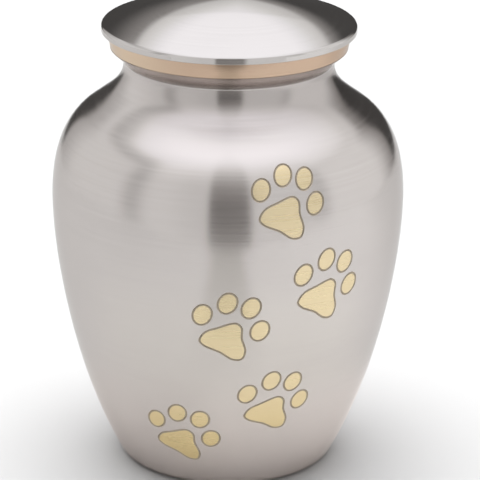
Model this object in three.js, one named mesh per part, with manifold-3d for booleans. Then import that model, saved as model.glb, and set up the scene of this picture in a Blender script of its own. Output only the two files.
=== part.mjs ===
// A pet urn: a turned, hollow brass vase with a pewter finish, a plain brass band round the top of its
// neck and a low domed lid that lifts off. Five paw prints climb its front as engraved outlines.
// Millimetres, +Z up, origin in the middle of the underside. The paw prints face -Y.

import * as THREE from 'three';
import { mergeVertices } from 'three/addons/utils/BufferGeometryUtils.js';
import Module from 'manifold-3d';

const wasm = await Module();
wasm.setup();

// Driving dimensions of the vase
const WALL = 2;
const FIT_GAP = 0.3;
const FOOT_RADIUS = 40.3;
const FOOT_HEIGHT = 2.4;
const BELLY_RADIUS = 64.4;
const BELLY_HEIGHT = 100.5;
const SHOULDER_RADIUS = 51.5;
const SHOULDER_HEIGHT = 134;
const SHOULDER_LEAN = THREE.MathUtils.degToRad(54);
const NECK_RADIUS = 38.1;
const NECK_HEIGHT = 150.8;
const LIP_RADIUS = 43;
const LIP_HEIGHT = 156.6;

// How far the vase's outline runs on in its own direction from each of its turning points
const FOOT_AIM = [57.5, 34.7];
const BELLY_PULL_DOWN = 21.4;
const BELLY_PULL_UP = 25;
const SHOULDER_PULL_DOWN = 3.4;
const SHOULDER_PULL_UP = 8.2;
const NECK_PULL_DOWN = 7.7;
const NECK_PULL_UP = 1.5;
const LIP_PULL = [2.7, 2.6];

// Driving dimensions of the band and the lid
const BAND_HEIGHT = 5.8;
const BAND_FLARE = 0.6;
const BAND_WIDTH = 2.6;
const BAND_EDGE = 0.25;
const RIM_RADIUS = 46.25;
const RIM_HEIGHT = 2.3;
const RIM_ROUND = 0.6;
const RIM_EDGE = 0.25;
const DOME_RISE = 6;
const SPIGOT_DEPTH = 10;
const SPIGOT_SLACK = 0.4;

// Heights and radii that follow from them
const BORE_RADIUS = NECK_RADIUS - WALL;
const COLLAR_RADIUS = LIP_RADIUS - BAND_WIDTH - FIT_GAP;
const BAND_BOTTOM = LIP_HEIGHT + FIT_GAP;
const BAND_TOP = BAND_BOTTOM + BAND_HEIGHT;
const COLLAR_TOP = BAND_TOP;
const LID_SEAT = BAND_TOP + FIT_GAP;
const DOME_FOOT = LID_SEAT + RIM_HEIGHT;
const DOME_EDGE = RIM_RADIUS - RIM_ROUND;
const SPIGOT_OUTER = BORE_RADIUS - SPIGOT_SLACK;
const SPIGOT_INNER = SPIGOT_OUTER - WALL;
const SPIGOT_BOTTOM = LID_SEAT - SPIGOT_DEPTH;

// How finely the turned pieces are divided
const AROUND = 48;
const LOWER_STEPS = 10;
const SHOULDER_STEPS = 7;
const NECK_STEPS = 4;
const LIP_STEPS = 3;
const INNER_LOWER_STEPS = 6;
const INNER_SHOULDER_STEPS = 4;
const INNER_NECK_STEPS = 2;
const ROUND_STEPS = 2;
const DOME_STEPS = 6;
const INNER_DOME_STEPS = 3;
const WALL_STATIONS = 60;
const SAME_POINT = 1e-3;

// One paw print, drawn flat in millimetres round the middle of its pad, x to the right and y up
const TOE = { long: 4.05, short: 3.2, tilt: THREE.MathUtils.degToRad(-22) };
const TOE_CENTRES = [[-8.1, 10.4], [0.5, 15.1], [8.5, 13.1], [11.7, 4.0]];
const PAD_OUTLINE = [
  [-9.1, 0.1], [-7.3, 3.4], [-2.5, 5.6], [3.3, 7.3], [5.3, 5.6], [5.5, 1.2],
  [6.8, -4.0], [5.6, -7.2], [2.6, -7.4], [-2.2, -4.3], [-7.6, -1.8],
];
const TOE_STEPS = 10;
const PAD_STEPS = 16;

// The trail: where each pad sits on the vase (degrees round from the front, height), its turn and size
const PAWS = [
  { azimuth: 18.2, height: 111.8, turn: -0.3, size: 1 },
  { azimuth: 31.7, height: 79.2, turn: -2.5, size: 1.02 },
  { azimuth: -0.3, height: 65.9, turn: 0, size: 1.02 },
  { azimuth: 16.7, height: 34.2, turn: 3.4, size: 0.985 },
  { azimuth: -19.8, height: 19.7, turn: 0.2, size: 0.985 },
];

// The engraved line: a V-shaped groove. The cutter stands proud so that it clears the faceted wall.
const GROOVE_WIDTH = 0.7;
const GROOVE_DEPTH = 0.5;
const CUTTER_PROUD = 0.3;

const pewter = new THREE.MeshStandardMaterial({ color: 0xc4beb9, roughness: 0.38, metalness: 1 });
const brass = new THREE.MeshStandardMaterial({ color: 0xcda87e, roughness: 0.3, metalness: 1 });

const at = (radius, height) => new THREE.Vector2(radius, height);

// The outside of the vase: three curves that run on smoothly, then the flare of the lip
const lean = at(-Math.sin(SHOULDER_LEAN), Math.cos(SHOULDER_LEAN));
const belly = at(BELLY_RADIUS, BELLY_HEIGHT);
const shoulder = at(SHOULDER_RADIUS, SHOULDER_HEIGHT);
const neck = at(NECK_RADIUS, NECK_HEIGHT);
const lip = at(LIP_RADIUS, LIP_HEIGHT);

const lowerCurve = new THREE.CubicBezierCurve(
  at(FOOT_RADIUS, FOOT_HEIGHT), at(...FOOT_AIM), belly.clone().sub(at(0, BELLY_PULL_DOWN)), belly);
const shoulderCurve = new THREE.CubicBezierCurve(
  belly, belly.clone().add(at(0, BELLY_PULL_UP)),
  shoulder.clone().addScaledVector(lean, -SHOULDER_PULL_DOWN), shoulder);
const neckCurve = new THREE.CubicBezierCurve(
  shoulder, shoulder.clone().addScaledVector(lean, SHOULDER_PULL_UP),
  neck.clone().sub(at(0, NECK_PULL_DOWN)), neck);
const lipCurve = new THREE.CubicBezierCurve(
  neck, neck.clone().add(at(0, NECK_PULL_UP)), lip.clone().sub(at(...LIP_PULL)), lip);

// The round at the foot runs on from the leaning wall down to the flat underside
const wallLean = Math.asin(lowerCurve.getTangent(0).x);
const FOOT_ROUND = FOOT_HEIGHT / (1 - Math.sin(wallLean));
const FLAT_RADIUS = FOOT_RADIUS - FOOT_ROUND * Math.cos(wallLean);

// Points along a quarter round, from one angle to another
function roundPoints(radius, height, size, from, to) {
  const points = [];
  for (let step = 0; step <= ROUND_STEPS; step += 1) {
    const angle = from + (to - from) * step / ROUND_STEPS;
    points.push(at(radius + size * Math.cos(angle), height + size * Math.sin(angle)));
  }
  return points;
}

// Points along a curve moved inwards, square to it, by the wall's thickness
function insetPoints(curve, steps) {
  const points = [];
  for (let step = 0; step <= steps; step += 1) {
    const along = curve.getTangent(step / steps);
    points.push(curve.getPoint(step / steps).add(at(-along.y, along.x).multiplyScalar(WALL)));
  }
  return points;
}

// A closed body with one set of shared corners, as booleans and closed solids need
function closed(geometry) {
  geometry.deleteAttribute('normal');
  geometry.deleteAttribute('uv');
  const merged = mergeVertices(geometry, SAME_POINT);
  const corners = merged.index.array;
  const kept = [];
  for (let i = 0; i < corners.length; i += 3) {
    const [a, b, c] = corners.slice(i, i + 3);
    if (a !== b && b !== c && c !== a) kept.push(a, b, c);
  }
  merged.setIndex(kept);
  return merged;
}

// A profile turned round the Z axis, with points that repeat left out
function turned(profile) {
  const points = profile.filter((point, i) => i === 0 || point.distanceTo(profile[i - 1]) > SAME_POINT);
  return closed(new THREE.LatheGeometry(points, AROUND).rotateX(Math.PI / 2));
}

function toSolid(geometry) {
  return new wasm.Manifold(new wasm.Mesh({
    numProp: 3,
    vertProperties: Float32Array.from(geometry.attributes.position.array),
    triVerts: Uint32Array.from(geometry.index.array),
  }));
}

function toGeometry(solid) {
  const mesh = solid.getMesh();
  const geometry = new THREE.BufferGeometry();
  geometry.setAttribute('position', new THREE.BufferAttribute(mesh.vertProperties, 3));
  geometry.setIndex(new THREE.BufferAttribute(mesh.triVerts, 1));
  return geometry;
}

// The vase with its hollow, from the middle of the underside round to the middle of the inside floor
function vaseGeometry() {
  const quarter = Math.PI / 2;
  const inner = [
    ...insetPoints(lowerCurve, INNER_LOWER_STEPS),
    ...insetPoints(shoulderCurve, INNER_SHOULDER_STEPS),
    ...insetPoints(neckCurve, INNER_NECK_STEPS),
  ];
  return turned([
    at(0, 0),
    ...roundPoints(FLAT_RADIUS, FOOT_ROUND, FOOT_ROUND, -quarter, -wallLean),
    ...lowerCurve.getPoints(LOWER_STEPS),
    ...shoulderCurve.getPoints(SHOULDER_STEPS),
    ...neckCurve.getPoints(NECK_STEPS),
    ...lipCurve.getPoints(LIP_STEPS),
    at(COLLAR_RADIUS, LIP_HEIGHT),
    at(COLLAR_RADIUS, COLLAR_TOP),
    at(BORE_RADIUS, COLLAR_TOP),
    ...inner.reverse(),
    at(FLAT_RADIUS, WALL),
    at(0, WALL),
  ]);
}

// The wall's outside as a run of stations, each with its distance along the wall, place and way out
const wallStations = [];
for (const curve of [lowerCurve, shoulderCurve]) {
  for (let step = 0; step <= WALL_STATIONS; step += 1) {
    const place = curve.getPoint(step / WALL_STATIONS);
    const along = curve.getTangent(step / WALL_STATIONS);
    const last = wallStations.at(-1);
    const distance = last ? last.distance + place.distanceTo(last.place) : 0;
    wallStations.push({ distance, place, out: at(along.y, -along.x) });
  }
}

function wallAt(key, value) {
  const next = wallStations.findIndex((station) => key(station) >= value);
  const [a, b] = [wallStations[next - 1], wallStations[next]];
  const share = (value - key(a)) / (key(b) - key(a));
  return {
    distance: THREE.MathUtils.lerp(a.distance, b.distance, share),
    place: a.place.clone().lerp(b.place, share),
    out: a.out.clone().lerp(b.out, share).normalize(),
  };
}

// A point of the flat drawing laid on the vase, with the way out of the wall there
function onWall(paw, [x, y]) {
  const centre = wallAt((station) => station.place.y, paw.height);
  const here = wallAt((station) => station.distance, centre.distance + y);
  const meanRadius = (centre.place.x + here.place.x) / 2;
  const angle = THREE.MathUtils.degToRad(paw.azimuth) + x / meanRadius;
  const [sine, cosine] = [Math.sin(angle), Math.cos(angle)];
  return {
    place: new THREE.Vector3(here.place.x * sine, -here.place.x * cosine, here.place.y),
    out: new THREE.Vector3(here.out.x * sine, -here.out.x * cosine, here.out.y),
  };
}

// The five closed outlines of one paw print, in the flat drawing
function pawOutlines() {
  const outlines = TOE_CENTRES.map(([x, y]) => {
    const oval = new THREE.EllipseCurve(x, y, TOE.short, TOE.long, 0, 2 * Math.PI, false, TOE.tilt);
    return oval.getPoints(TOE_STEPS).slice(0, -1);
  });
  const corners = PAD_OUTLINE.map(([x, y]) => new THREE.Vector3(x, y, 0));
  const pad = new THREE.CatmullRomCurve3(corners, true, 'centripetal');
  outlines.push(pad.getSpacedPoints(PAD_STEPS).slice(0, -1));
  return outlines;
}

// A closed ring of V-shaped sections that cuts one engraved line
function grooveCutter(paw, outline) {
  const turn = THREE.MathUtils.degToRad(paw.turn);
  const laid = outline.map((point) => {
    const moved = at(point.x, point.y).rotateAround(at(0, 0), turn).multiplyScalar(paw.size);
    return onWall(paw, [moved.x, moved.y]);
  });
  const halfWidth = GROOVE_WIDTH / 2 * (1 + CUTTER_PROUD / GROOVE_DEPTH);
  const count = laid.length;
  const places = [];
  laid.forEach(({ place, out }, i) => {
    const before = laid[(i + count - 1) % count].place;
    const after = laid[(i + 1) % count].place;
    const side = after.clone().sub(before).cross(out).normalize();
    const proud = place.clone().addScaledVector(out, CUTTER_PROUD);
    places.push(proud.clone().addScaledVector(side, -halfWidth));
    places.push(proud.clone().addScaledVector(side, halfWidth));
    places.push(place.clone().addScaledVector(out, -GROOVE_DEPTH));
  });
  const index = [];
  for (let i = 0; i < count; i += 1) {
    for (let corner = 0; corner < 3; corner += 1) {
      const next = (corner + 1) % 3;
      const [a, b] = [3 * i + corner, 3 * i + next];
      const [c, d] = [3 * ((i + 1) % count) + corner, 3 * ((i + 1) % count) + next];
      index.push(a, b, d, a, d, c);
    }
  }
  const geometry = new THREE.BufferGeometry().setFromPoints(places);
  geometry.setIndex(index);
  return geometry;
}

function urnBody() {
  let solid = toSolid(vaseGeometry());
  for (const paw of PAWS) {
    for (const outline of pawOutlines()) {
      solid = solid.subtract(toSolid(grooveCutter(paw, outline)));
    }
  }
  return toGeometry(solid);
}

// The plain ring of brass that lies on the lip, round the collar. Its face is slightly round and upright
// at the top.
function neckBand() {
  const inner = COLLAR_RADIUS + FIT_GAP;
  const top = LIP_RADIUS + BAND_FLARE;
  const faceHeight = BAND_HEIGHT - 2 * BAND_EDGE;
  const faceTurn = 2 * Math.atan(BAND_FLARE / faceHeight);
  const faceRound = faceHeight / Math.sin(faceTurn);
  return turned([
    at(inner, BAND_BOTTOM),
    at(LIP_RADIUS - BAND_EDGE, BAND_BOTTOM),
    ...roundPoints(top - faceRound, BAND_TOP - BAND_EDGE, faceRound, -faceTurn, 0),
    at(top - BAND_EDGE, BAND_TOP),
    at(inner, BAND_TOP),
    at(inner, BAND_BOTTOM),
  ]);
}

// Points of the dome from its edge to its middle, as part of a sphere of the given foot and rise
function domePoints(edge, foot, rise, steps) {
  const sphere = (edge * edge + rise * rise) / (2 * rise);
  const points = [];
  for (let step = 0; step <= steps; step += 1) {
    const radius = edge * (1 - step / steps);
    points.push(at(radius, foot + rise - sphere + Math.sqrt(sphere * sphere - radius * radius)));
  }
  return points;
}

// The lid: dome, upright rim and the plain spigot that drops into the neck, all one shell
function lid() {
  const quarter = Math.PI / 2;
  const innerRise = DOME_FOOT + DOME_RISE - WALL - LID_SEAT;
  const underside = domePoints(SPIGOT_INNER, LID_SEAT, innerRise, INNER_DOME_STEPS);
  return turned([
    ...underside.reverse(),
    at(SPIGOT_INNER, SPIGOT_BOTTOM),
    at(SPIGOT_OUTER, SPIGOT_BOTTOM),
    at(SPIGOT_OUTER, LID_SEAT),
    at(RIM_RADIUS - RIM_EDGE, LID_SEAT),
    at(RIM_RADIUS, LID_SEAT + RIM_EDGE),
    ...roundPoints(RIM_RADIUS - RIM_ROUND, DOME_FOOT - RIM_ROUND, RIM_ROUND, 0, quarter),
    ...domePoints(DOME_EDGE, DOME_FOOT, DOME_RISE, DOME_STEPS),
  ]);
}

function piece(name, geometry, material) {
  const mesh = new THREE.Mesh(geometry, material);
  mesh.name = name;
  return mesh;
}

const urn = new THREE.Group();
urn.add(
  piece('urn_body', urnBody(), pewter),
  piece('neck_band', neckBand(), brass),
  piece('lid', lid(), pewter),
);

export default urn;
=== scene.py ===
# Looks of a pet urn: a turned vase with a brushed pewter finish, a brass band round its neck, a low domed
# lid and five engraved paw prints of bared brass. Sizes of the drawing are in millimetres, +Z up, and the
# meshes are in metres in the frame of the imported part. The paw prints face -Y.

import math

import bpy
import numpy as np
from mathutils import Matrix, Vector
from mathutils.geometry import delaunay_2d_cdt


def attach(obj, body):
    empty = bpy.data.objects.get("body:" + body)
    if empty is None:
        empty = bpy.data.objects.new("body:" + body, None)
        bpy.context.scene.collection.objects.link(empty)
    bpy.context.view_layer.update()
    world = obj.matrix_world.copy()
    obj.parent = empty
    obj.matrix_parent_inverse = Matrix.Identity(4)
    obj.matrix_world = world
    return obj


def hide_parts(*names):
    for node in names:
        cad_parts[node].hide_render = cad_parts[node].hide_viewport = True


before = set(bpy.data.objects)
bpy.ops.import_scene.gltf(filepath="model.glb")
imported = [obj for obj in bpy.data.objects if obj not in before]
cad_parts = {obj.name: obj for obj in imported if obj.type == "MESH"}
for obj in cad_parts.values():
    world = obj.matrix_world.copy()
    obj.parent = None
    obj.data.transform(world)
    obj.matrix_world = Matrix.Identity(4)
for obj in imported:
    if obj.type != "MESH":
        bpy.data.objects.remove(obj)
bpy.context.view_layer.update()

MM = 0.001

# Driving dimensions of the vase
WALL = 2
FIT_GAP = 0.3
FOOT_RADIUS = 40.3
FOOT_HEIGHT = 2.4
BELLY_RADIUS = 64.4
BELLY_HEIGHT = 100.5
SHOULDER_RADIUS = 51.5
SHOULDER_HEIGHT = 134
SHOULDER_LEAN = math.radians(54)
NECK_RADIUS = 38.1
NECK_HEIGHT = 150.8
LIP_RADIUS = 43
LIP_HEIGHT = 156.6

# How far the vase's outline runs on in its own direction from each of its turning points
FOOT_AIM = (57.5, 34.7)
BELLY_PULL_DOWN = 21.4
BELLY_PULL_UP = 25
SHOULDER_PULL_DOWN = 3.4
SHOULDER_PULL_UP = 8.2
NECK_PULL_DOWN = 7.7
NECK_PULL_UP = 1.5
LIP_PULL = (2.7, 2.6)

# Driving dimensions of the band and the lid
BAND_HEIGHT = 5.3
BAND_FLARE = 0.6
BAND_WIDTH = 2.6
BAND_EDGE = 0.15
RIM_RADIUS = 46.1
RIM_HEIGHT = 2.8
RIM_ROUND = 1.2
RIM_EDGE = 0.25
DOME_RISE = 6
SPIGOT_DEPTH = 10
SPIGOT_SLACK = 0.4

# The seams that show above and below the band are hairlines
SEAM = 0.05

# Heights and radii that follow from them
BORE_RADIUS = NECK_RADIUS - WALL
COLLAR_RADIUS = LIP_RADIUS - BAND_WIDTH - FIT_GAP
COLLAR_TOP = LIP_HEIGHT + FIT_GAP + BAND_HEIGHT
LID_SEAT = COLLAR_TOP + FIT_GAP
BAND_BOTTOM = LIP_HEIGHT + SEAM
BAND_TOP = LID_SEAT - SEAM
DOME_FOOT = LID_SEAT + RIM_HEIGHT
DOME_LEAN = 2 * math.atan(DOME_RISE / RIM_RADIUS)
DOME_EDGE = RIM_RADIUS - RIM_ROUND * (1 - math.sin(DOME_LEAN))
SPIGOT_OUTER = BORE_RADIUS - SPIGOT_SLACK
SPIGOT_INNER = SPIGOT_OUTER - WALL
SPIGOT_BOTTOM = LID_SEAT - SPIGOT_DEPTH

# How finely the turned pieces are divided
AROUND = 240
AROUND_STEP = 2 * math.pi / AROUND
WALL_ROWS = 100
WALL_SAMPLES = 600
NECK_STEPS = 16
LIP_STEPS = 10
INNER_STEPS = 24
ROUND_STEPS = 6
DOME_STEPS = 40
SAME_PLACE = 1e-6

# One paw print, drawn flat round the middle of its pad, x to the right and y up
TOE_LONG = 4.05
TOE_SHORT = 3.2
TOE_TILT = math.radians(-22)
TOE_CENTRES = [(-8.1, 10.4), (0.5, 15.1), (8.5, 13.1), (11.7, 4.0)]
PAD_OUTLINE = [
    (-9.1, 0.1), (-7.3, 3.4), (-2.5, 5.6), (3.3, 7.3), (5.3, 5.6), (5.5, 1.2),
    (6.8, -4.0), (5.6, -7.2), (2.6, -7.4), (-2.2, -4.3), (-7.6, -1.8),
]
TOE_STEPS = 48
PAD_STEPS_EACH = 9

# The trail: degrees round from the front, height of the pad, turn in degrees and size
PAWS = [
    (18.2, 111.8, -0.3, 1),
    (31.7, 79.2, -2.5, 1.02),
    (-0.3, 65.9, 0, 1.02),
    (16.7, 34.2, 3.4, 0.985),
    (-19.8, 19.7, 0.2, 0.985),
]

# The engraved line and the room that the grid of the wall leaves on both sides of it
GROOVE_WIDTH = 0.75
GROOVE_DEPTH = 0.25
GROOVE_ROOM = 0.9

# Materials of the body, in the order of its slots
PEWTER, BARED, ENGRAVED = range(3)

# The camera: where the axis point at LOOK_HEIGHT lies in the picture, in pixels from its top left
PICTURE = 480
FOCAL_PIXELS = 2700
SENSOR = 36
CAMERA_DISTANCE = 1.0
CAMERA_ELEVATION = math.radians(20.21)
CAMERA_ROLL = 0.00825
LOOK_HEIGHT = 0.08
LOOK_PIXEL = (227.5, 244.2)

# The light tent, as brightness by direction. Angles are degrees: round from the front or the back, right
# positive, and up. A pair of angles is where a soft edge starts and ends.
LEFT_PANEL = 0.965
LEFT_NEAR_SLIT = 0.87
LEFT_NEAR_EDGE = (-46, -18)
RIGHT_PANEL = 0.92
FAR_RIGHT_PANEL = 1.08
PANELS_MEET = (-4, 4)
FAR_RIGHT_EDGE = (64, 74)
TOP_PANEL = 1.58
TOP_EDGE = (25, 77)

# Dim joints between the panels, two upright and two level: from, to and softness across the joint, where
# its end lies along it, and its share of the dimming
GAP_DIM = 0.28
LEFT_GAP = (-72, -58, 7)
LEFT_GAP_TOP = (40, 48)
LEFT_GAP_SHARE = 1
LEFT_OVER_GAP = (37.5, 51, 4.5)
LEFT_OVER_GAP_END = (-72, -50)
LEFT_OVER_GAP_SHARE = 1.9
RIGHT_GAP = (57, 69, 6)
RIGHT_GAP_TOP = (30, 40)
RIGHT_GAP_SHARE = 0.5
RIGHT_OVER_GAP = (33, 41, 4)
RIGHT_OVER_GAP_END = (60, 72)
RIGHT_OVER_GAP_SHARE = 0.5

# The slit in front, through which the camera looks
SLIT_DARK = 0.28
SLIT_TOP = 0.95
SLIT_FADE = (3, 73)
SLIT_LEFT = (-13.5, -10.5)
SLIT_RIGHT = (11.5, 18)
SLIT_LOW = 0.38
SLIT_LOW_EDGE = (-20, 5)

# The dark room behind, with dim edges on both sides
ROOM_DARK = 0.08
ROOM_LEFT = (-32, -25)
ROOM_RIGHT = (33, 40)
ROOM_TOP = (16, 28)
ROOM_OPEN_OVER = (17, 24)
LEFT_DIM = (-60, -30)
LEFT_DIM_LEVEL = 0.66
RIGHT_DIM = (33, 66)
RIGHT_DIM_LEVEL = 0.34
DIM_TOP = (27, 35)

# The white window high up behind, a V that opens upwards, with a glow round its point
WINDOW_MIDDLE = 0.7
WINDOW_FOOT = 5.5
WINDOW_SLOPE = 1.91
WINDOW_EDGE = (-0.5, 2.5)
WINDOW_SILL = (20.5, 22)
WINDOW_UNDER_SILL = 0.88
WINDOW_LOW = 1.0
WINDOW_HIGH = 1.55
WINDOW_FULL = (0, 15)
HAZE_LEVEL = 0.36
LEFT_HAZE_EDGE = (-11, 0)
RIGHT_HAZE_EDGE = (-5, 0)
HAZE_SIDES = (-4, 4)

# Light on the floor, most of it from nearly overhead, and the white behind the urn that the camera sees
FLOOR_ALL_ROUND = 0.18
FLOOR_TOP = 5.6
FLOOR_TOP_EDGE = (46, 64)
FLOOR_TOP_AIM = Vector((-0.05, 0.2, 1)).normalized()
BACKDROP = 1.0

# Tints of dim and bright light, and the brightness where each ends or starts
WARM = (1.035, 1.0, 0.985)
WHITE = (1.0, 1.0, 1.0)
COOL = (1.0, 1.0, 1.045)
WARM_UP_TO = (0.3, 0.85)
COOL_FROM = (1.05, 1.45)

# The floor, in metres. The camera sees it plain. The urn mirrors it with painted light and shade: paler on
# the right and round the foot, dimmer behind, and with a dim aisle in front where the tent opens. A pair of
# places is where a soft edge starts and ends.
FLOOR_RADIUS = 0.8
FLOOR_FRONT = 0.38
FLOOR_STEPS = 96
FLOOR_ROUGHNESS = 0.9
FLOOR_SEEN = (0.585, 0.585, 0.585)
FLOOR_LEFT = (0.505, 0.505, 0.505)
FLOOR_RIGHT = (0.615, 0.615, 0.615)
FLOOR_SIDE = (-0.375, 0.375)
FLOOR_BEHIND = (0.522, 0.522, 0.522)
FLOOR_BEHIND_EDGE = (-0.02, 0.22)
FLOOR_NEAR_LEFT = (0.565, 0.565, 0.55)
FLOOR_NEAR_RIGHT = (0.67, 0.67, 0.65)
FLOOR_NEAR_SIDE = (-0.14, 0.08)
FLOOR_NEAR_EDGE = (0.12, 0.24)
FLOOR_NEAR_BACK = (-0.08, 0.06)
AISLE_TONE = (0.44, 0.44, 0.427)
AISLE_EDGE = (0.03, 0.06)
AISLE_START = (0.08, 0.24)
FLOOR_FOOT_LEFT = (0.73, 0.70, 0.685)
FLOOR_FOOT_RIGHT = (1.0, 0.965, 0.945)
FLOOR_FOOT_SIDE = (-0.05, 0.01)
FLOOR_FOOT_EDGE = (0.035, 0.12)

# Colours of the metals' darker and lighter brush lines, the roughness and anisotropy of each brush, and the
# tint that all of them take on at a slant
PEWTER_TONES = ((0.557, 0.523, 0.505), (0.592, 0.557, 0.537))
PEWTER_BRUSH = (0.19, 0.72)
LID_TONES = ((0.55, 0.5275, 0.511), (0.575, 0.5525, 0.536))
LID_BRUSH = (0.08, 0.3)
BARED_TONES = ((0.713, 0.595, 0.38), (0.753, 0.635, 0.42))
BARED_BRUSH = (0.32, 0.4)
BAND_TONES = ((0.53, 0.389, 0.285), (0.555, 0.41, 0.302))
BAND_BRUSH = (0.22, 0.6)
EDGE_TINT = (0.8, 0.79, 0.78)

# The share of light that the lacquer on the polished lid scatters
LID_HAZE = 0.02

# Painted shade darkens the hollow of the neck, apart from its left, and a painted warm reflection brightens
# the lip. Rises are heights in metres, and sides are places across the urn.
NECK_SHADE = (0.455, 0.424, 0.408)
NECK_SHADE_RISE = (0.134, 0.143)
NECK_SHADE_SIDE = (-0.036, -0.02)
LIP_REFLECTION = (0.735, 0.65, 0.615)
LIP_REFLECTION_RISE = (0.1513, 0.1535)

# The band has painted light that makes it a little paler on the left, and the lowest paw prints are a
# little deeper in tone
BAND_LIT = (0.655, 0.516, 0.381)
BAND_LIT_SIDE = (-0.037, -0.012)
BARED_DEEP = (0.71, 0.582, 0.315)
BARED_DEEP_RISE = (0.012, 0.055)

# Brush lines and clouds of the finish: how many to the metre, how strong, and how they mix
LINES_ALONG = 16.0
LINES_ACROSS = 1400.0
LINES_NOISE = {"Scale": 1.0, "Detail": 3.0, "Roughness": 0.6}
LINES_BUMP = 0.12
FINE_LINES_BUMP = 0.03
LINES_DEPTH = 0.00002
CLOUDS_NOISE = {"Scale": 30.0, "Detail": 2.0, "Roughness": 0.5}
CLOUD_SHARE = 0.4
MIXED_RANGE = (0.3, 0.7)
ROUGHNESS_SPREAD = 0.3

# The brush's turn from the tangent, as a share of a full turn, so that highlights spread up and down
QUARTER_TURN = 0.25

# The darkened bed of the engraved lines
BED_TONES = ((0.32, 0.275, 0.215), (0.48, 0.41, 0.32))
BED_NOISE = {"Scale": 900.0, "Detail": 2.0}
BED_METALLIC = 0.7
BED_ROUGHNESS = 0.5


def outward(along):
    """The way out of a profile that is drawn upwards on the outside."""
    along = along / np.linalg.norm(along, axis=1, keepdims=True)
    return np.column_stack([along[:, 1], -along[:, 0]])


def bezier(start, pull_start, pull_end, end, steps):
    """A run of profile points along a cubic curve, with the way out at each."""
    t = np.linspace(0, 1, steps + 1)[:, None]
    a, b, c, d = (np.array(point, float) for point in (start, pull_start, pull_end, end))
    points = (1 - t) ** 3 * a + 3 * (1 - t) ** 2 * t * b + 3 * (1 - t) * t ** 2 * c + t ** 3 * d
    along = (1 - t) ** 2 * (b - a) + 2 * (1 - t) * t * (c - b) + t ** 2 * (d - c)
    return points, outward(along)


def straight(start, end):
    points = np.array([start, end], float)
    return points, outward(np.repeat(points[1:] - points[:1], 2, axis=0))


def rounded(centre, radius, start, end):
    """A run along a round edge, between two angles in degrees."""
    angle = np.radians(np.linspace(start, end, ROUND_STEPS + 1))
    out = np.column_stack([np.cos(angle), np.sin(angle)])
    return np.array(centre) + radius * out, out


def dome(edge, foot, rise, steps):
    """A run over part of a sphere, from its edge up to its middle."""
    sphere = (edge * edge + rise * rise) / (2 * rise)
    angle = np.linspace(math.asin(edge / sphere), 0, steps + 1)
    out = np.column_stack([np.sin(angle), np.cos(angle)])
    return np.array([0, foot + rise - sphere]) + sphere * out, out


def joined(*runs):
    """Runs that go on smoothly, as one run."""
    points = np.concatenate([run[0][:-1] for run in runs[:-1]] + [runs[-1][0]])
    out = np.concatenate([run[1][:-1] for run in runs[:-1]] + [runs[-1][1]])
    return points, out


def inset(run, steps):
    """The inside of a wall, drawn downwards: a run moved in by the wall's thickness, with fewer points."""
    pick = np.linspace(0, len(run[0]) - 1, steps + 1).round().astype(int)[::-1]
    points, out = run[0][pick], run[1][pick]
    return points - WALL * out, -out


belly = np.array([BELLY_RADIUS, BELLY_HEIGHT])
shoulder = np.array([SHOULDER_RADIUS, SHOULDER_HEIGHT])
neck = np.array([NECK_RADIUS, NECK_HEIGHT])
lip = np.array([LIP_RADIUS, LIP_HEIGHT])
lean = np.array([-math.sin(SHOULDER_LEAN), math.cos(SHOULDER_LEAN)])

lower_run = bezier(
    (FOOT_RADIUS, FOOT_HEIGHT), FOOT_AIM, belly - (0, BELLY_PULL_DOWN), belly, WALL_SAMPLES)
shoulder_run = bezier(
    belly, belly + (0, BELLY_PULL_UP), shoulder - SHOULDER_PULL_DOWN * lean, shoulder, WALL_SAMPLES)
neck_run = bezier(
    shoulder, shoulder + SHOULDER_PULL_UP * lean, neck - (0, NECK_PULL_DOWN), neck, NECK_STEPS)
lip_run = bezier(neck, neck + (0, NECK_PULL_UP), lip - LIP_PULL, lip, LIP_STEPS)

# The wall that carries the paw prints, by the distance along it
wall_points, wall_out = joined(lower_run, shoulder_run)
wall_distance = np.concatenate([[0], np.cumsum(np.linalg.norm(np.diff(wall_points, axis=0), axis=1))])
ROW_STEP = wall_distance[-1] / WALL_ROWS


def wall_at(distance):
    """Radius, height and way out of the wall at distances along it."""
    columns = (*wall_points.T, *wall_out.T)
    radius, height, out_radius, out_height = (np.interp(distance, wall_distance, c) for c in columns)
    return radius, height, out_radius, out_height


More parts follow.
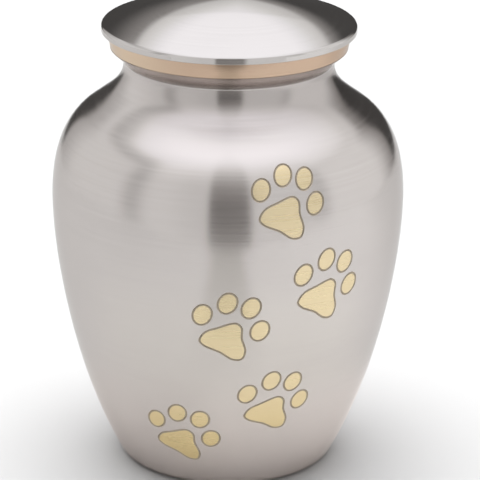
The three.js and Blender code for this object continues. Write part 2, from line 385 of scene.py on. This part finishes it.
class Shell:
    """A mesh in the making: places, faces, the way each face corner is shaded and each face's material."""

    def __init__(self):
        self.places = []
        self.faces = []
        self.shading = []
        self.materials = []

    def add_face(self, corners, shading, material):
        self.faces.append(corners)
        self.shading.extend(shading)
        self.materials.append(material)

    def add_ring(self, radius, height):
        """A ring of places, or one place on the axis; gives the place's number at each step round."""
        first = len(self.places)
        if radius < SAME_PLACE:
            self.places.append((0, 0, height))
            return [first] * AROUND
        self.places.extend(around(radius, step * AROUND_STEP, height) for step in range(AROUND))
        return list(range(first, first + AROUND))

    def add_strip(self, low, high, out_low, out_high, left_out=()):
        """The faces between two rings."""
        for step in range(AROUND):
            if step in left_out:
                continue
            after = (step + 1) % AROUND
            here, there = step * AROUND_STEP, (step + 1) * AROUND_STEP
            corners = [
                (low[step], around(out_low[0], here, out_low[1])),
                (low[after], around(out_low[0], there, out_low[1])),
                (high[after], around(out_high[0], there, out_high[1])),
                (high[step], around(out_high[0], here, out_high[1])),
            ]
            kept = [c for i, c in enumerate(corners) if c[0] != corners[i - 1][0]]
            self.add_face([c[0] for c in kept], [c[1] for c in kept], PEWTER)

    def to_object(self, name, materials):
        mesh = bpy.data.meshes.new(name)
        mesh.from_pydata([Vector(place) * MM for place in self.places], [], self.faces)
        for material in materials:
            mesh.materials.append(material)
        mesh.polygons.foreach_set("material_index", self.materials)
        mesh.polygons.foreach_set("use_smooth", [True] * len(self.faces))
        mesh.normals_split_custom_set(self.shading)
        piece = bpy.data.objects.new(name, mesh)
        bpy.context.scene.collection.objects.link(piece)
        return piece


def around(radius, angle, height):
    """A place, or a direction, at an angle round from the front."""
    return (radius * math.sin(angle), -radius * math.cos(angle), height)


def turned(shell, runs, ring=None):
    """Turns runs, each of which starts where the last one ends, round the axis.

    They go on from a ring if one is given. A run that comes back to the start closes on the first ring.
    Gives the last ring.
    """
    start = runs[0][0][0]
    first_ring = ring or shell.add_ring(*start)
    ring = first_ring
    for points, out in runs:
        for row in range(1, len(points)):
            closes = np.linalg.norm(points[row] - start) < SAME_PLACE
            after = first_ring if closes else shell.add_ring(*points[row])
            shell.add_strip(ring, after, out[row - 1], out[row])
            ring = after
    return ring


def oval_outline(centre):
    angle = np.linspace(0, 2 * math.pi, TOE_STEPS, endpoint=False)
    across, along = TOE_SHORT * np.cos(angle), TOE_LONG * np.sin(angle)
    cosine, sine = math.cos(TOE_TILT), math.sin(TOE_TILT)
    return np.column_stack([across * cosine - along * sine, across * sine + along * cosine]) + centre


def pad_outline():
    """A closed curve through the pad's points, eased by the distances between them."""
    points = np.array(PAD_OUTLINE)
    count = len(points)
    t = np.linspace(0, 1, PAD_STEPS_EACH, endpoint=False)[:, None]
    pieces = []
    for i in range(count):
        a, b, c, d = (points[(i + shift) % count] for shift in (-1, 0, 1, 2))
        before, here, after = (math.sqrt(np.linalg.norm(q - p)) for p, q in ((a, b), (b, c), (c, d)))
        leave = here * ((b - a) / before - (c - a) / (before + here) + (c - b) / here)
        arrive = here * ((c - b) / here - (d - b) / (here + after) + (d - c) / after)
        bend = 3 * (c - b) - 2 * leave - arrive
        twist = 2 * (b - c) + leave + arrive
        pieces.append(b + t * leave + t ** 2 * bend + t ** 3 * twist)
    return np.concatenate(pieces)[::-1]


def moved_out(outline, distance):
    """An outline, drawn counter-clockwise, moved out by a distance."""
    along = np.roll(outline, -1, axis=0) - np.roll(outline, 1, axis=0)
    return outline + distance * outward(along)


def holds(outline, point):
    """Whether a closed outline goes round a point."""
    x, y = outline.T
    x_next, y_next = np.roll(outline, -1, axis=0).T
    crosses = (y > point[1]) != (y_next > point[1])
    at = x + (point[1] - y) / np.where(crosses, y_next - y, 1) * (x_next - x)
    return bool(np.count_nonzero(crosses & (at > point[0])) % 2)


def laid_out(paw, drawing):
    """Points of the flat drawing as (angle round, distance along the wall)."""
    azimuth, height, turn, size = paw
    turn = math.radians(turn)
    x, y = size * drawing.T
    x, y = x * math.cos(turn) - y * math.sin(turn), x * math.sin(turn) + y * math.cos(turn)
    middle = np.interp(height, wall_points[:, 1], wall_distance)
    radius_middle, radius_here = wall_at(middle)[0], wall_at(middle + y)[0]
    return np.column_stack([math.radians(azimuth) + 2 * x / (radius_middle + radius_here), middle + y])


class PawBlock:
    """The block of wall cells that one paw print takes up, refilled round its engraved lines."""

    def __init__(self, paw):
        drawings = [oval_outline(centre) for centre in TOE_CENTRES] + [pad_outline()]
        self.edges = [laid_out(paw, moved_out(d, GROOVE_WIDTH / 2)) for d in drawings]
        self.beds = [laid_out(paw, d) for d in drawings]
        self.insides = [laid_out(paw, moved_out(d, -GROOVE_WIDTH / 2)) for d in drawings]
        reach = np.concatenate(self.edges) / (AROUND_STEP, ROW_STEP)
        self.first_column, self.first_row = np.floor(reach.min(axis=0)).astype(int) - 1
        self.last_column, self.last_row = np.ceil(reach.max(axis=0)).astype(int) + 1
        self.scale = np.array([wall_at(np.interp(paw[1], wall_points[:, 1], wall_distance))[0], 1])

    def columns_left_out(self, row):
        if not self.first_row <= row < self.last_row:
            return []
        return [column % AROUND for column in range(self.first_column, self.last_column)]

    def border(self):
        """The grid corners round the block, in order."""
        left, right, low, high = self.first_column, self.last_column, self.first_row, self.last_row
        bottom = [(column, low) for column in range(left, right)]
        up = [(right, row) for row in range(low, high)]
        top = [(column, high) for column in range(right, left, -1)]
        down = [(left, row) for row in range(high, low, -1)]
        return bottom + up + top + down

    def inner_grid(self):
        """The grid corners inside the block that keep clear of the lines: (corner, whether in a print)."""
        beds = np.concatenate(self.beds) * self.scale
        for column in range(self.first_column + 1, self.last_column):
            for row in range(self.first_row + 1, self.last_row):
                place = np.array([column * AROUND_STEP, row * ROW_STEP])
                if np.linalg.norm(beds - place * self.scale, axis=1).min() > GROOVE_ROOM:
                    yield place, any(holds(bed, place) for bed in self.beds)

    def drawing(self):
        """All points of the block, the border first: places, what each belongs to, and the lines to keep."""
        border = self.border()
        places = [(column * AROUND_STEP, row * ROW_STEP) for column, row in border]
        kinds = ["wall"] * len(border)
        lines = [(i, (i + 1) % len(border)) for i in range(len(border))]
        for place, in_print in self.inner_grid():
            places.append(tuple(place))
            kinds.append("print" if in_print else "wall")
        for kind, loops in (("wall", self.edges), ("bed", self.beds), ("print", self.insides)):
            for loop in loops:
                first, count = len(places), len(loop)
                lines += [(first + i, first + (i + 1) % count) for i in range(count)]
                places += [tuple(place) for place in loop]
                kinds += [kind] * count
        return np.array(places), np.array(kinds), lines

    def fill(self, shell, rings):
        """Adds the block's faces to the shell, whose wall rings are already there."""
        places, kinds, lines = self.drawing()
        angle, distance = places.T
        radius, height, out_radius, out_height = wall_at(distance)
        sunk = np.where(kinds == "bed", GROOVE_DEPTH, 0)
        radius, height = radius - sunk * out_radius, height - sunk * out_height
        solid = [Vector(around(*place)) for place in zip(radius, angle, height)]
        out = [around(*way) for way in zip(out_radius, angle, out_height)]
        numbers = [rings[row][column % AROUND] for column, row in self.border()]
        for place in solid[len(numbers):]:
            numbers.append(len(shell.places))
            shell.places.append(place)
        flat = [Vector(place * self.scale) for place in places]
        _, _, triangles, origins, _, _ = delaunay_2d_cdt(flat, lines, [], 0, SAME_PLACE)
        for triangle in triangles:
            corners = [origins[corner][0] for corner in triangle]
            found = {kinds[corner] for corner in corners}
            if "bed" in found:
                a, b, c = (solid[corner] for corner in corners)
                face_out = tuple((b - a).cross(c - a).normalized())
                shell.add_face([numbers[c] for c in corners], [face_out] * 3, ENGRAVED)
            else:
                material = BARED if "print" in found else PEWTER
                shell.add_face([numbers[c] for c in corners], [out[c] for c in corners], material)


def urn_body(materials):
    """The vase, from the middle of its underside up the outside and down to the middle of its inside."""
    shell = Shell()
    wall_lean = math.degrees(math.asin(-lower_run[1][0][1]))
    foot_round = FOOT_HEIGHT / (1 - math.sin(math.radians(wall_lean)))
    flat_radius = FOOT_RADIUS - foot_round * math.cos(math.radians(wall_lean))
    foot = rounded((flat_radius, foot_round), foot_round, -90, -wall_lean)
    low = turned(shell, [straight((0, 0), (flat_radius, 0)), foot])
    blocks = [PawBlock(paw) for paw in PAWS]
    rows = np.column_stack(wall_at(np.arange(WALL_ROWS + 1) * ROW_STEP))
    rings = [low]
    for row in range(WALL_ROWS):
        rings.append(shell.add_ring(*rows[row + 1][:2]))
        left_out = {column for block in blocks for column in block.columns_left_out(row)}
        shell.add_strip(rings[row], rings[row + 1], rows[row][2:], rows[row + 1][2:], left_out)
    for block in blocks:
        block.fill(shell, rings)
    collar_top = (COLLAR_RADIUS, COLLAR_TOP)
    bore_top = (BORE_RADIUS, COLLAR_TOP)
    inner_wall = joined(inset(neck_run, NECK_STEPS // 2), inset((wall_points, wall_out), 2 * INNER_STEPS))
    shell_end = [
        neck_run,
        lip_run,
        straight(lip, (COLLAR_RADIUS, LIP_HEIGHT)),
        straight((COLLAR_RADIUS, LIP_HEIGHT), collar_top),
        straight(collar_top, bore_top),
        straight(bore_top, inner_wall[0][0]),
        inner_wall,
        straight(inner_wall[0][-1], (flat_radius, WALL)),
        straight((flat_radius, WALL), (0, WALL)),
    ]
    turned(shell, shell_end, rings[-1])
    return shell.to_object("urn_body_fine", materials)


def neck_band(material):
    """The plain brass ring that lies on the lip. Its face is slightly round and upright at the top."""
    shell = Shell()
    inner = COLLAR_RADIUS + FIT_GAP
    top = LIP_RADIUS + BAND_FLARE
    face_height = BAND_TOP - BAND_BOTTOM - 2 * BAND_EDGE
    face_turn = 2 * math.atan(BAND_FLARE / face_height)
    face_round = face_height / math.sin(face_turn)
    low_edge = rounded((LIP_RADIUS - BAND_EDGE, BAND_BOTTOM + BAND_EDGE), BAND_EDGE, -90, 0)
    face = rounded((top - face_round, BAND_TOP - BAND_EDGE), face_round, -math.degrees(face_turn), 0)
    high_edge = rounded((top - BAND_EDGE, BAND_TOP - BAND_EDGE), BAND_EDGE, 0, 90)
    turned(shell, [
        straight((inner, BAND_BOTTOM), low_edge[0][0]),
        low_edge,
        face,
        high_edge,
        straight(high_edge[0][-1], (inner, BAND_TOP)),
        straight((inner, BAND_TOP), (inner, BAND_BOTTOM)),
    ])
    return shell.to_object("neck_band_fine", [material])


def lid(material):
    """The lid: dome, upright rim and the plain spigot that drops into the neck."""
    shell = Shell()
    inner_rise = DOME_FOOT + DOME_RISE - WALL - LID_SEAT
    inside, inside_out = dome(SPIGOT_INNER, LID_SEAT, inner_rise, DOME_STEPS // 2)
    low_edge = rounded((RIM_RADIUS - RIM_EDGE, LID_SEAT + RIM_EDGE), RIM_EDGE, -90, 0)
    round_centre = (RIM_RADIUS - RIM_ROUND, DOME_FOOT - RIM_ROUND * math.cos(DOME_LEAN))
    high_round = rounded(round_centre, RIM_ROUND, 0, 90 - math.degrees(DOME_LEAN))
    turned(shell, [
        (inside[::-1], -inside_out[::-1]),
        straight(inside[0], (SPIGOT_INNER, SPIGOT_BOTTOM)),
        straight((SPIGOT_INNER, SPIGOT_BOTTOM), (SPIGOT_OUTER, SPIGOT_BOTTOM)),
        straight((SPIGOT_OUTER, SPIGOT_BOTTOM), (SPIGOT_OUTER, LID_SEAT)),
        straight((SPIGOT_OUTER, LID_SEAT), low_edge[0][0]),
        low_edge,
        straight(low_edge[0][-1], high_round[0][0]),
        high_round,
        dome(DOME_EDGE, DOME_FOOT, DOME_RISE, DOME_STEPS),
    ])
    return shell.to_object("lid_fine", [material])


# Node trees: short helpers so that a tree reads like a sum

def feed(tree, value, socket):
    """Gives a socket a value, or links another socket to it."""
    if isinstance(value, bpy.types.NodeSocket):
        tree.links.new(value, socket)
    else:
        socket.default_value = value


def add_node(tree, kind, inputs=(), **settings):
    node = tree.nodes.new(kind)
    for name, setting in settings.items():
        setattr(node, name, setting)
    for name, value in dict(inputs).items():
        feed(tree, value, node.inputs[name])
    return node


def calc(tree, operation, *values):
    node = tree.nodes.new("ShaderNodeMath")
    node.operation = operation
    for value, socket in zip(values, node.inputs):
        feed(tree, value, socket)
    return node.outputs[0]


def rise(tree, value, low, high):
    """0 below low, 1 above high and a smooth rise between them."""
    inputs = {"Value": value, "From Min": low, "From Max": high}
    return add_node(tree, "ShaderNodeMapRange", inputs, interpolation_type="SMOOTHSTEP").outputs[0]


def fall(tree, value, low, high):
    """1 below low, 0 above high and a smooth fall between them."""
    return calc(tree, "SUBTRACT", 1.0, rise(tree, value, low, high))


def span(tree, value, low, high, soft):
    """1 between low and high, with soft ends, and 0 outside."""
    up = rise(tree, value, low - soft, low + soft)
    return calc(tree, "MULTIPLY", up, fall(tree, value, high - soft, high + soft))


def between(tree, start, end, share):
    """A share of the way from one value to another."""
    return calc(tree, "MULTIPLY_ADD", share, calc(tree, "SUBTRACT", end, start), start)


def scaled(tree, low, high, value):
    """A value from 0 to 1 as one from low to high."""
    return calc(tree, "MULTIPLY_ADD", value, high - low, low)


def between_colours(tree, start, end, share):
    """A share of the way from one colour to another."""
    node = add_node(tree, "ShaderNodeMix", data_type="RGBA")
    sockets = {socket.identifier: socket for socket in node.inputs}
    feed(tree, share, sockets["Factor_Float"])
    for colour, name in ((start, "A_Color"), (end, "B_Color")):
        feed(tree, colour if isinstance(colour, bpy.types.NodeSocket) else (*colour, 1), sockets[name])
    return next(socket for socket in node.outputs if socket.identifier == "Result_Color")


def tent_panels(tree, front, up):
    """White panels on both sides with dim joints."""
    right = between(tree, RIGHT_PANEL, FAR_RIGHT_PANEL, rise(tree, front, *FAR_RIGHT_EDGE))
    left = between(tree, LEFT_PANEL, LEFT_NEAR_SLIT, rise(tree, front, *LEFT_NEAR_EDGE))
    panels = between(tree, left, right, rise(tree, front, *PANELS_MEET))
    joints = (
        (span(tree, front, *LEFT_GAP), fall(tree, up, *LEFT_GAP_TOP), LEFT_GAP_SHARE),
        (span(tree, up, *LEFT_OVER_GAP), fall(tree, front, *LEFT_OVER_GAP_END), LEFT_OVER_GAP_SHARE),
        (span(tree, front, *RIGHT_GAP), fall(tree, up, *RIGHT_GAP_TOP), RIGHT_GAP_SHARE),
        (span(tree, up, *RIGHT_OVER_GAP), rise(tree, front, *RIGHT_OVER_GAP_END), RIGHT_OVER_GAP_SHARE),
    )
    gaps = 0.0
    for across, along, share in joints:
        gap = calc(tree, "MULTIPLY", calc(tree, "MULTIPLY", across, along), share)
        gaps = calc(tree, "MAXIMUM", gaps, gap)
    return calc(tree, "MULTIPLY", panels, scaled(tree, 1, 1 - GAP_DIM, gaps))


def tent_slit(tree, lit, front, up):
    """The dark slit in front, which fades out overhead and is a little paler low down."""
    share = between(tree, SLIT_LOW, SLIT_DARK, rise(tree, up, *SLIT_LOW_EDGE))
    share = between(tree, share, SLIT_TOP, rise(tree, up, *SLIT_FADE))
    slit = calc(tree, "MULTIPLY", rise(tree, front, *SLIT_LEFT), fall(tree, front, *SLIT_RIGHT))
    return calc(tree, "MULTIPLY", lit, between(tree, 1.0, share, slit))


def tent_room(tree, lit, back, up):
    """The dark room behind, its dim edges, and the white window above it."""
    off_middle = calc(tree, "ABSOLUTE", calc(tree, "SUBTRACT", back, WINDOW_MIDDLE))
    above = calc(tree, "SUBTRACT", up, calc(tree, "MULTIPLY_ADD", off_middle, WINDOW_SLOPE, WINDOW_FOOT))

    dim_top = fall(tree, up, *DIM_TOP)
    left_dim = calc(tree, "MULTIPLY", rise(tree, back, *LEFT_DIM), dim_top)
    right_dim = calc(tree, "MULTIPLY", fall(tree, back, *RIGHT_DIM), dim_top)
    left_side = calc(tree, "LESS_THAN", back, 0.0)
    dim_level = between(tree, RIGHT_DIM_LEVEL, LEFT_DIM_LEVEL, left_side)
    dim = between(tree, right_dim, left_dim, left_side)
    lit = between(tree, lit, dim_level, dim)

    left_haze, right_haze = rise(tree, above, *LEFT_HAZE_EDGE), rise(tree, above, *RIGHT_HAZE_EDGE)
    haze = between(tree, left_haze, right_haze, rise(tree, back, *HAZE_SIDES))
    in_room = between(tree, ROOM_DARK, HAZE_LEVEL, haze)
    room = calc(tree, "MULTIPLY", rise(tree, back, *ROOM_LEFT), fall(tree, back, *ROOM_RIGHT))
    closed_over = between(tree, 1.0, fall(tree, up, *ROOM_TOP), rise(tree, off_middle, *ROOM_OPEN_OVER))
    room = calc(tree, "MULTIPLY", room, closed_over)
    lit = between(tree, lit, in_room, room)

    window_level = between(tree, WINDOW_LOW, WINDOW_HIGH, rise(tree, above, *WINDOW_FULL))
    sill = between(tree, WINDOW_UNDER_SILL, 1.0, rise(tree, up, *WINDOW_SILL))
    window_level = calc(tree, "MULTIPLY", window_level, sill)
    return between(tree, lit, window_level, rise(tree, above, *WINDOW_EDGE))


def in_degrees(tree, angle):
    return calc(tree, "MULTIPLY", angle, math.degrees(1))


def light_on_floor(tree, direction):
    """The light that reaches the floor: dim all round and strong from nearly overhead."""
    inputs = {0: direction, 1: FLOOR_TOP_AIM}
    leaning = add_node(tree, "ShaderNodeVectorMath", inputs, operation="DOT_PRODUCT").outputs["Value"]
    over_floor = in_degrees(tree, calc(tree, "ARCSINE", leaning))
    return between(tree, FLOOR_ALL_ROUND, FLOOR_TOP, rise(tree, over_floor, *FLOOR_TOP_EDGE))


def light_tent():
    """White panels all round with a dark slit in front, for the camera, and a dark room behind."""
    world = bpy.data.worlds.new("light_tent")
    world.use_nodes = True
    tree = world.node_tree
    tree.nodes.clear()
    direction = add_node(tree, "ShaderNodeTexCoord").outputs["Generated"]
    x, y, z = add_node(tree, "ShaderNodeSeparateXYZ", {"Vector": direction}).outputs
    front = in_degrees(tree, calc(tree, "ARCTAN2", x, calc(tree, "MULTIPLY", y, -1.0)))
    back = in_degrees(tree, calc(tree, "ARCTAN2", x, y))
    up = in_degrees(tree, calc(tree, "ARCSINE", z))
    lit = tent_room(tree, tent_panels(tree, front, up), back, up)
    lit = between(tree, lit, TOP_PANEL, rise(tree, up, *TOP_EDGE))
    lit = tent_slit(tree, lit, front, up)

    tint = between_colours(tree, WARM, WHITE, rise(tree, lit, *WARM_UP_TO))
    tint = between_colours(tree, tint, COOL, rise(tree, lit, *COOL_FROM))
    light_path = add_node(tree, "ShaderNodeLightPath").outputs
    plain = calc(tree, "MAXIMUM", light_path["Is Diffuse Ray"], light_path["Is Camera Ray"])
    tint = between_colours(tree, tint, WHITE, plain)
    strength = between(tree, lit, light_on_floor(tree, direction), light_path["Is Diffuse Ray"])
    strength = between(tree, strength, BACKDROP, light_path["Is Camera Ray"])
    background = add_node(tree, "ShaderNodeBackground", {"Color": tint, "Strength": strength})
    output = add_node(tree, "ShaderNodeOutputWorld")
    tree.links.new(background.outputs[0], output.inputs["Surface"])
    bpy.context.scene.world = world


def new_material(name):
    material = bpy.data.materials.new(name)
    material.use_nodes = True
    tree = material.node_tree
    tree.nodes.clear()
    shader = add_node(tree, "ShaderNodeBsdfPrincipled")
    output = add_node(tree, "ShaderNodeOutputMaterial")
    tree.links.new(shader.outputs[0], output.inputs["Surface"])
    return material, tree, shader


def noise(tree, settings, place=None):
    inputs = settings if place is None else {**settings, "Vector": place}
    return add_node(tree, "ShaderNodeTexNoise", inputs).outputs["Fac"]


def brushed_metal(name, tones, brush, lines_bump, by_radius=False, haze=0, shade=None):
    """Metal brushed round on the lathe: fine lines that run round the axis, and slight clouds in the finish.

    The lines follow each other up the piece, or outwards by radius. A shade is a function that changes the
    colour by the place across and the height.
    """
    material, tree, shader = new_material(name)
    place = add_node(tree, "ShaderNodeTexCoord").outputs["Object"]
    x, y, z = add_node(tree, "ShaderNodeSeparateXYZ", {"Vector": place}).outputs
    squares = calc(tree, "ADD", calc(tree, "MULTIPLY", x, x), calc(tree, "MULTIPLY", y, y))
    across = calc(tree, "SQRT", squares) if by_radius else z
    lines_place = add_node(tree, "ShaderNodeCombineXYZ", {
        "X": calc(tree, "MULTIPLY", x, LINES_ALONG),
        "Y": calc(tree, "MULTIPLY", y, LINES_ALONG),
        "Z": calc(tree, "MULTIPLY", across, LINES_ACROSS),
    }).outputs[0]
    lines = noise(tree, LINES_NOISE, lines_place)
    clouds = noise(tree, CLOUDS_NOISE, place)
    mixed = rise(tree, between(tree, lines, clouds, CLOUD_SHARE), *MIXED_RANGE)
    colour = between_colours(tree, *tones, mixed)
    if shade:
        colour = shade(tree, colour, x, z)
    feed(tree, colour, shader.inputs["Base Color"])
    roughness, anisotropy = brush
    low_roughness, high_roughness = roughness * (1 - ROUGHNESS_SPREAD), roughness * (1 + ROUGHNESS_SPREAD)
    feed(tree, scaled(tree, low_roughness, high_roughness, mixed), shader.inputs["Roughness"])
    bump = add_node(tree, "ShaderNodeBump", {
        "Strength": lines_bump, "Distance": LINES_DEPTH, "Height": lines})
    tree.links.new(bump.outputs[0], shader.inputs["Normal"])
    tangent = add_node(tree, "ShaderNodeTangent", direction_type="RADIAL", axis="Z")
    tree.links.new(tangent.outputs[0], shader.inputs["Tangent"])
    shader.inputs["Metallic"].default_value = 1 - haze
    shader.inputs["Specular Tint"].default_value = (*EDGE_TINT, 1)
    shader.inputs["Anisotropic"].default_value = anisotropy
    shader.inputs["Anisotropic Rotation"].default_value = QUARTER_TURN
    return material


def shaded_neck_lit_lip(tree, colour, x, height):
    """Painted shade in the neck's hollow, apart from its left, and a painted warm reflection on the lip."""
    # Painted shade in the hollow of the neck
    painted_shade = calc(tree, "MULTIPLY", rise(tree, height, *NECK_SHADE_RISE), rise(tree, x, *NECK_SHADE_SIDE))
    colour = between_colours(tree, colour, NECK_SHADE, painted_shade)
    # Painted warm reflection on the lip
    return between_colours(tree, colour, LIP_REFLECTION, rise(tree, height, *LIP_REFLECTION_RISE))


def deep_below(tree, colour, x, height):
    """Deeper in tone low down."""
    return between_colours(tree, BARED_DEEP, colour, rise(tree, height, *BARED_DEEP_RISE))


def lit_on_left(tree, colour, x, height):
    """Paler on the left: painted light."""
    return between_colours(tree, BAND_LIT, colour, rise(tree, x, *BAND_LIT_SIDE))


def pewter():
    return brushed_metal("pewter_finish", PEWTER_TONES, PEWTER_BRUSH, LINES_BUMP, shade=shaded_neck_lit_lip)


def polished_pewter():
    """The lid's finish, with finer lines in rings round its middle."""
    return brushed_metal(
        "pewter_finish_lid", LID_TONES, LID_BRUSH, FINE_LINES_BUMP, by_radius=True, haze=LID_HAZE)


def bared_brass():
    return brushed_metal("bared_brass", BARED_TONES, BARED_BRUSH, LINES_BUMP, shade=deep_below)


def band_brass():
    return brushed_metal("band_brass", BAND_TONES, BAND_BRUSH, FINE_LINES_BUMP, shade=lit_on_left)


def engraved_line():
    """The darkened bed of the engraved lines."""
    material, tree, shader = new_material("engraved_line")
    feed(tree, between_colours(tree, *BED_TONES, noise(tree, BED_NOISE)), shader.inputs["Base Color"])
    shader.inputs["Metallic"].default_value = BED_METALLIC
    shader.inputs["Roughness"].default_value = BED_ROUGHNESS
    return material


def floor_as_mirrored(tree):
    """The floor's colour where the urn mirrors it, with painted light and shade."""
    place = add_node(tree, "ShaderNodeTexCoord").outputs["Object"]
    x, y, _ = add_node(tree, "ShaderNodeSeparateXYZ", {"Vector": place}).outputs
    off_axis = add_node(tree, "ShaderNodeVectorMath", {0: place}, operation="LENGTH").outputs["Value"]
    colour = between_colours(tree, FLOOR_LEFT, FLOOR_RIGHT, rise(tree, x, *FLOOR_SIDE))
    colour = between_colours(tree, colour, FLOOR_BEHIND, rise(tree, y, *FLOOR_BEHIND_EDGE))

    near = between_colours(tree, FLOOR_NEAR_LEFT, FLOOR_NEAR_RIGHT, rise(tree, x, *FLOOR_NEAR_SIDE))
    in_front = fall(tree, y, *FLOOR_NEAR_BACK)
    near_share = calc(tree, "MULTIPLY", fall(tree, off_axis, *FLOOR_NEAR_EDGE), in_front)
    colour = between_colours(tree, colour, near, near_share)

    ahead = calc(tree, "MULTIPLY", y, -1.0)
    in_aisle = fall(tree, calc(tree, "ABSOLUTE", x), *AISLE_EDGE)
    aisle = calc(tree, "MULTIPLY", in_aisle, rise(tree, ahead, *AISLE_START))
    colour = between_colours(tree, colour, AISLE_TONE, aisle)

    # Painted pool of light round the foot, as the urn mirrors it
    foot = between_colours(tree, FLOOR_FOOT_LEFT, FLOOR_FOOT_RIGHT, rise(tree, x, *FLOOR_FOOT_SIDE))
    return between_colours(tree, colour, foot, fall(tree, off_axis, *FLOOR_FOOT_EDGE))


def floor():
    """A plain pale disc to stand on, cut off in front where the light tent opens."""
    corners = []
    for step in range(FLOOR_STEPS):
        x, y, _ = around(FLOOR_RADIUS, 2 * math.pi * step / FLOOR_STEPS, 0)
        corners.append((x, max(y, -FLOOR_FRONT), 0))
    mesh = bpy.data.meshes.new("floor")
    mesh.from_pydata(corners, [], [range(FLOOR_STEPS)])
    material, tree, shader = new_material("floor_white")
    seen = add_node(tree, "ShaderNodeLightPath").outputs["Is Camera Ray"]
    colour = between_colours(tree, floor_as_mirrored(tree), FLOOR_SEEN, seen)
    feed(tree, colour, shader.inputs["Base Color"])
    shader.inputs["Roughness"].default_value = FLOOR_ROUGHNESS
    shader.inputs["Specular IOR Level"].default_value = 0
    mesh.materials.append(material)
    piece = bpy.data.objects.new("floor", mesh)
    bpy.context.scene.collection.objects.link(piece)


def camera():
    """A camera at the photograph's angle, aimed so that the axis point falls on its pixel."""
    data = bpy.data.cameras.new("camera")
    data.sensor_width = SENSOR
    data.lens = FOCAL_PIXELS * SENSOR / PICTURE
    ahead = Vector((0, math.cos(CAMERA_ELEVATION), -math.sin(CAMERA_ELEVATION)))
    level_right = Vector((1, 0, 0))
    level_up = level_right.cross(ahead)
    right = level_right * math.cos(CAMERA_ROLL) + level_up * math.sin(CAMERA_ROLL)
    up = level_up * math.cos(CAMERA_ROLL) - level_right * math.sin(CAMERA_ROLL)
    squared = Matrix((right, up, -ahead)).transposed()
    middle = PICTURE / 2
    seen = Vector((LOOK_PIXEL[0] - middle, middle - LOOK_PIXEL[1], -FOCAL_PIXELS))
    aim = seen.rotation_difference(Vector((0, 0, -1))).to_matrix()
    place = Vector((0, 0, LOOK_HEIGHT)) - ahead * CAMERA_DISTANCE
    piece = bpy.data.objects.new("camera", data)
    piece.matrix_world = Matrix.Translation(place) @ (squared @ aim).to_4x4()
    bpy.context.scene.collection.objects.link(piece)
    bpy.context.scene.camera = piece


for piece, node, slot in (
    (urn_body([pewter(), bared_brass(), engraved_line()]), "urn_body", "pewter_finish"),
    (neck_band(band_brass()), "neck_band", "brass"),
    (lid(polished_pewter()), "lid", "pewter_finish"),
):
    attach(piece, "root")
    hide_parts(node)

light_tent()
floor()
camera()
bpy.context.scene.view_settings.view_transform = "Standard"
